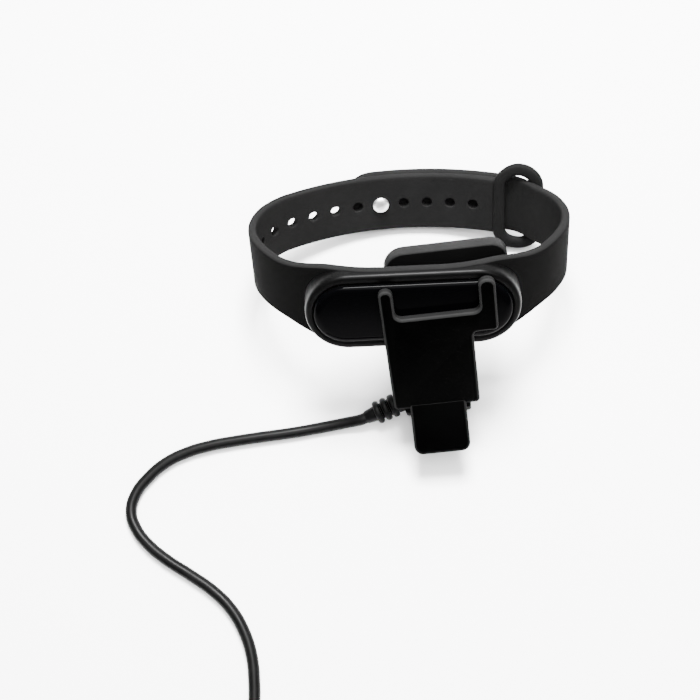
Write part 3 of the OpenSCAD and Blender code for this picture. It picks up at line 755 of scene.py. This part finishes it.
def makeTracker():
    glass = asObject("cover_glass", lofted(tracker["glass"]))
    settle(glass, loopPlace, "band", "cover_glass", ("glass",), smoothAngle=60)
    shell = asObject("tracker_shell", lofted(tracker["shell"]))
    sensor = (tracker["sensor"], tracker["back"], 0)
    wide = tracker["lens"] + 0.02
    carve(shell, turned([(0, -0.92), (wide, -0.92), (wide, 1), (0, 1)], "Y", 64, sensor))
    for side in (-1, 1):
        spot = (Matrix.Translation((clip["x"], tracker["back"], 0)) @ Matrix.Rotation(-clipTurn, 4, "Y")
                @ Vector((side * tracker["contactPitch"] / 2, 0, tracker["contactUp"])))
        carve(shell, turned([(0, -0.85), (tracker["contact"], -0.85), (tracker["contact"], 1), (0, 1)],
                            "Y", 40, spot))
    settle(shell, loopPlace, "band", "pod_plastic", ("rear_housing",), smoothAngle=30)
    lens = asObject("sensor_window", turned(tracker["dome"], "Y", 64, sensor))
    settle(lens, loopPlace, "band", "sensor_glass", ("sensor_lens",), smoothAngle=35)
    print("tracker ready")


jaw = {
    "front": -5.6, "thick": 2.2, "rim": 0.55,
    "outline": [(-11.2, -25.4, 1), (9, -25.4, 1), (9, -5, 1.1), (14.7, -5, 1.2), (14.7, 8.8, 1.85),
                (10.9, 8.8, 1.85), (10.9, 0.4, 1.6), (-8, 0.4, 1.6), (-8, 8.4, 1.55), (-11.2, 8.4, 1.55)],
    "tab": [(0, 12.4, 0), (0, 0, 2), (13.2, 0, 2), (13.2, 12.4, 0)], "tabAt": (-7.5, -5.6, -24.4),
    "tabLean": 30, "tabLength": 12, "ears": ((-11.2, -9.2), (7, 9)), "hinge": (3.5, -19), "ear": 3,
}


def makeFrontJaw():
    bm = bmesh.new()
    # painted highlight: front rim palest, sides less, back rim least, where the light falls
    slab(bm, jaw["outline"], jaw["front"], jaw["front"] + jaw["thick"], rim=jaw["rim"], segments=4,
         paintedRimTones=(0, 1, 0.55, 0.1))
    settle(asObject("jaw_plate", bm), clipPlace, "front_jaw", "clip_plastic", ("front_jaw",), smoothAngle=50)
    bm = bmesh.new()
    # painted highlight on the tab's rims, weaker than on the jaw
    slab(bm, jaw["tab"], 0, jaw["thick"], rim=0.5, segments=4, paintedRimTones=(0, 0.5, 0.3, 0.1))
    lean = (Matrix.Translation(jaw["tabAt"]) @ Matrix.Rotation(math.radians(-jaw["tabLean"]), 4, "X")
            @ Matrix.Translation((0, 0, -jaw["tabLength"])))
    bmesh.ops.transform(bm, matrix=lean, verts=bm.verts)
    settle(asObject("thumb_tab", bm), clipPlace, "front_jaw", "clip_plastic", smoothAngle=50)
    bm = bmesh.new()
    y, z = jaw["hinge"]
    ear = jaw["ear"]
    for low, high in jaw["ears"]:
        slab(bm, [(jaw["front"] + 0.8, z - ear, 0), (y + ear, z - ear, ear - 0.02),
                  (y + ear, z + ear, ear - 0.02), (jaw["front"] + 0.8, z + ear, 0)], low, high, "yz", 0.3, 3)
    settle(asObject("jaw_ears", bm), clipPlace, "front_jaw", "clip_plastic", smoothAngle=50)
    print("front jaw ready")


housing = {
    "plate": [(-10, 8.6, 5), (-10, -12, 2), (-9.1, -14, 0.4), (6.9, -14, 0.4), (8, -12, 0.5), (18.7, -12, 2),
              (18.7, 8.6, 4)],
    "front": 9, "back": 12.4, "left": -9.1, "right": 6.9,
    "side": [(4, -13, 0.8), (11.2, -13, 0.2), (11.2, -40, 0), (4.3, -35.8, 0.8), (1, -32, 1),
             (1, -25.5, 0.9), (4, -25.5, 0.9)],
    "cover": [(-9.1, -14.1, 0.6), (6.9, -14.1, 0.6), (6.9, -40, 0), (-9.1, -40, 0)],
    "screws": ((-6.1, -17), (3.9, -17)), "screwHole": (0.95, 0.85), "knuckle": 2.35,
    "block": (12.4, 5.4, -2),
}


def makeHousing():
    bm = bmesh.new()
    # painted highlight: every rim of the rear jaw painted pale, its faces a little
    slab(bm, housing["plate"], housing["front"], housing["back"], rim=0.45, segments=4,
         paintedRimTones=(0.16, 1, 1, 1))
    plate = asObject("rear_jaw", bm)
    wide, tall, up = housing["block"]
    bm = bmesh.new()
    slab(bm, [(-wide / 2, up - tall / 2, 0), (wide / 2, up - tall / 2, 0), (wide / 2, up + tall / 2, 0),
              (-wide / 2, up + tall / 2, 0)], housing["front"] - 1, housing["back"] - 0.6, rim=0)
    carve(plate, bm)
    settle(plate, clipPlace, "charger", "clip_plastic", ("clip_housing",), smoothAngle=50)
    bm = bmesh.new()
    slab(bm, housing["side"], housing["left"], housing["right"], "yz", 0.5, 4)
    settle(asObject("lower_housing", bm), clipPlace, "charger", "clip_plastic", smoothAngle=50,
           standing=True)
    bm = bmesh.new()
    y, z = jaw["hinge"]
    knuckle = housing["knuckle"]
    for low, high in ((housing["left"], housing["left"] + 3), (housing["right"] - 3, housing["right"])):
        slab(bm, [(y - knuckle, z - knuckle, knuckle - 0.02), (6.5, z - knuckle, 0), (6.5, z + knuckle, 0),
                  (y - knuckle, z + knuckle, knuckle - 0.02)], low, high, "yz", 0.2, 2)
    settle(asObject("hinge_knuckles", bm), clipPlace, "charger", "clip_plastic", smoothAngle=50)
    bm = bmesh.new()
    slab(bm, housing["cover"], housing["back"] - 1.2, housing["back"], rim=0.25)
    cover = asObject("lower_cover", bm)
    wide, deep = housing["screwHole"]
    sink = [(0, -deep), (wide, -deep), (wide, 1), (0, 1)]
    for x, z in housing["screws"]:
        carve(cover, turned(sink, "Y", 40, (x, housing["back"], z)))
    settle(cover, clipPlace, "charger", "clip_plastic", ("clip_cover",), smoothAngle=40, standing=True)
    print("housing ready")


hinge = {"radius": 1, "left": -11.35, "right": 9.15, "coil": 1.65, "wire": 0.24, "turns": 12,
         "coilFrom": -5.4, "coilTo": 3.2}


def woundWire(spring):
    # a helix of round wire along X
    bm = bmesh.new()
    ring = bmesh.ops.create_circle(bm, segments=10, radius=spring["wire"])["verts"]
    bmesh.ops.translate(bm, vec=(spring["coilFrom"], spring["coil"], 0), verts=ring)
    steps = spring["turns"] * 24
    rise = Vector((spring["coilTo"] - spring["coilFrom"], 0, 0)) / steps
    wire = bmesh.ops.spin(bm, geom=ring + bm.edges[:], cent=(0, 0, 0), axis=(1, 0, 0), dvec=rise,
                          angle=math.tau * spring["turns"], steps=steps)["geom_last"]
    bmesh.ops.contextual_create(bm, geom=[item for item in wire if isinstance(item, bmesh.types.BMEdge)])
    bmesh.ops.holes_fill(bm, edges=[edge for edge in bm.edges if edge.is_boundary])
    return bm


def makeHinge():
    y, z = jaw["hinge"]
    left, right, radius = hinge["left"], hinge["right"], hinge["radius"]
    profile = [(0, left), (radius * 0.8, left), (radius, left + 0.2), (radius, right - 0.2),
               (radius * 0.8, right), (0, right)]
    pin = asObject("hinge_rod", turned(profile, "X", 40, (0, y, z)))
    settle(pin, clipPlace, "charger", "spring_steel", ("hinge_pin",))
    bm = woundWire(hinge)
    bmesh.ops.translate(bm, vec=(0, y, z), verts=bm.verts)
    coil = asObject("torsion_spring", bm)
    settle(coil, clipPlace, "charger", "spring_steel", ("jaw_spring",), smoothAngle=60)
    print("hinge ready")


pogo = {"pitch": 7, "up": -2, "coil": 0.32, "wire": 0.07, "turns": 3, "coilFrom": 10.7, "coilTo": 11.42,
        "seat": 11.5, "keep": 0.18}


def makePogoSprings():
    # the springs behind the charging pins, which shorten as the pins are pushed in
    for side, name in ((-1, "left"), (1, "right")):
        bm = woundWire(pogo)
        bmesh.ops.rotate(bm, verts=bm.verts, matrix=Matrix.Rotation(math.radians(90), 3, "Z"))
        bmesh.ops.translate(bm, vec=(side * pogo["pitch"] / 2, 0, pogo["up"]), verts=bm.verts)
        coil = asObject("pogo_coil_" + name, bm)
        settle(coil, clipPlace, "charger", "spring_steel", ("pogo_springs",), smoothAngle=60)
        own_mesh(coil)
    print("pogo springs ready")


relief = {"root": 2.3, "rib": 2.9, "ribWide": 1.6, "ribs": (1.4, 3.4, 5.4), "tip": 1.55, "taper": 0.075}


def makeStrainRelief():
    # a tapered sleeve with three rounded ribs
    root, wide = relief["root"], relief["ribWide"]
    profile = [(0, -0.6), (root, -0.6), (root, 0.3)]
    for start in relief["ribs"]:
        core = root - start * relief["taper"]
        for step in range(9):
            turn = math.pi * step / 8
            profile.append((core + (relief["rib"] - core) * math.sin(turn) ** 0.6,
                            start + wide / 2 * (1 - math.cos(turn))))
    profile += [(relief["tip"] + 0.05, lead["relief"] - 0.25), (relief["tip"] - 0.15, lead["relief"]),
                (0, lead["relief"])]
    piece = asObject("ribbed_sleeve", turned(profile, "X", 48))
    settle(piece, tablePlace @ reliefPlace(), "charger", "cord_jacket", ("strain_relief",), smoothAngle=35)
    print("strain relief ready")


makeStrap()
makeCradle()
makeHoop()
makeStud()
makeTracker()
makeFrontJaw()
makeHousing()
makeHinge()
makePogoSprings()
makeStrainRelief()


studio = {"floor": (0.93, 0.93, 0.93), "reach": 3, "low": 0.2, "high": 0.5}
lamps = {
    "top": {"at": (0.06, -0.12, 0.56), "aim": (0, 0, 0), "size": (0.45, 0.6), "watts": 9},
    "rear": {"at": (0.02, 0.22, 0.54), "aim": (0, -0.02, 0), "size": (0.2, 0.2), "watts": 30},
    "back": {"at": (0.1, 0.62, 0.36), "aim": (0, 0, 0.03), "size": (1.2, 0.45), "watts": 8},
}


def makeStudio():
    bm = bmesh.new()
    bmesh.ops.create_grid(bm, x_segments=1, y_segments=1, size=studio["reach"])
    mesh = bpy.data.meshes.new("floor")
    bm.to_mesh(mesh)
    bm.free()
    floor = bpy.data.objects.new("floor", mesh)
    bpy.context.scene.collection.objects.link(floor)
    paper = Look("paper", studio["floor"], 0.75, Specular_IOR_Level=0.2)
    mesh.materials.append(paper.material)
    world = bpy.data.worlds.new("studio")
    world.use_nodes = True
    tree = world.node_tree
    # brighter overhead than at the horizon, as under a ceiling of white cloth
    way = tree.nodes.new("ShaderNodeTexCoord")
    parts = tree.nodes.new("ShaderNodeSeparateXYZ")
    climb = tree.nodes.new("ShaderNodeMapRange")
    climb.inputs["From Min"].default_value = 0.1
    climb.inputs["From Max"].default_value = 0.8
    climb.inputs["To Min"].default_value = studio["low"]
    climb.inputs["To Max"].default_value = studio["high"]
    tree.links.new(way.outputs["Generated"], parts.inputs[0])
    tree.links.new(parts.outputs["Z"], climb.inputs["Value"])
    tree.links.new(climb.outputs[0], tree.nodes["Background"].inputs["Strength"])
    tree.nodes["Background"].inputs["Color"].default_value = (1, 1, 1, 1)
    bpy.context.scene.world = world
    for name, lamp in lamps.items():
        data = bpy.data.lights.new(name, "AREA")
        data.shape = "RECTANGLE"
        data.size, data.size_y = lamp["size"]
        data.energy = lamp["watts"]
        light = bpy.data.objects.new(name, data)
        bpy.context.scene.collection.objects.link(light)
        spot = Vector(lamp["at"])
        turn = (Vector(lamp["aim"]) - spot).to_track_quat("-Z", "Y")
        light.matrix_world = Matrix.Translation(spot) @ turn.to_matrix().to_4x4()
    print("studio ready")


makeStudio()
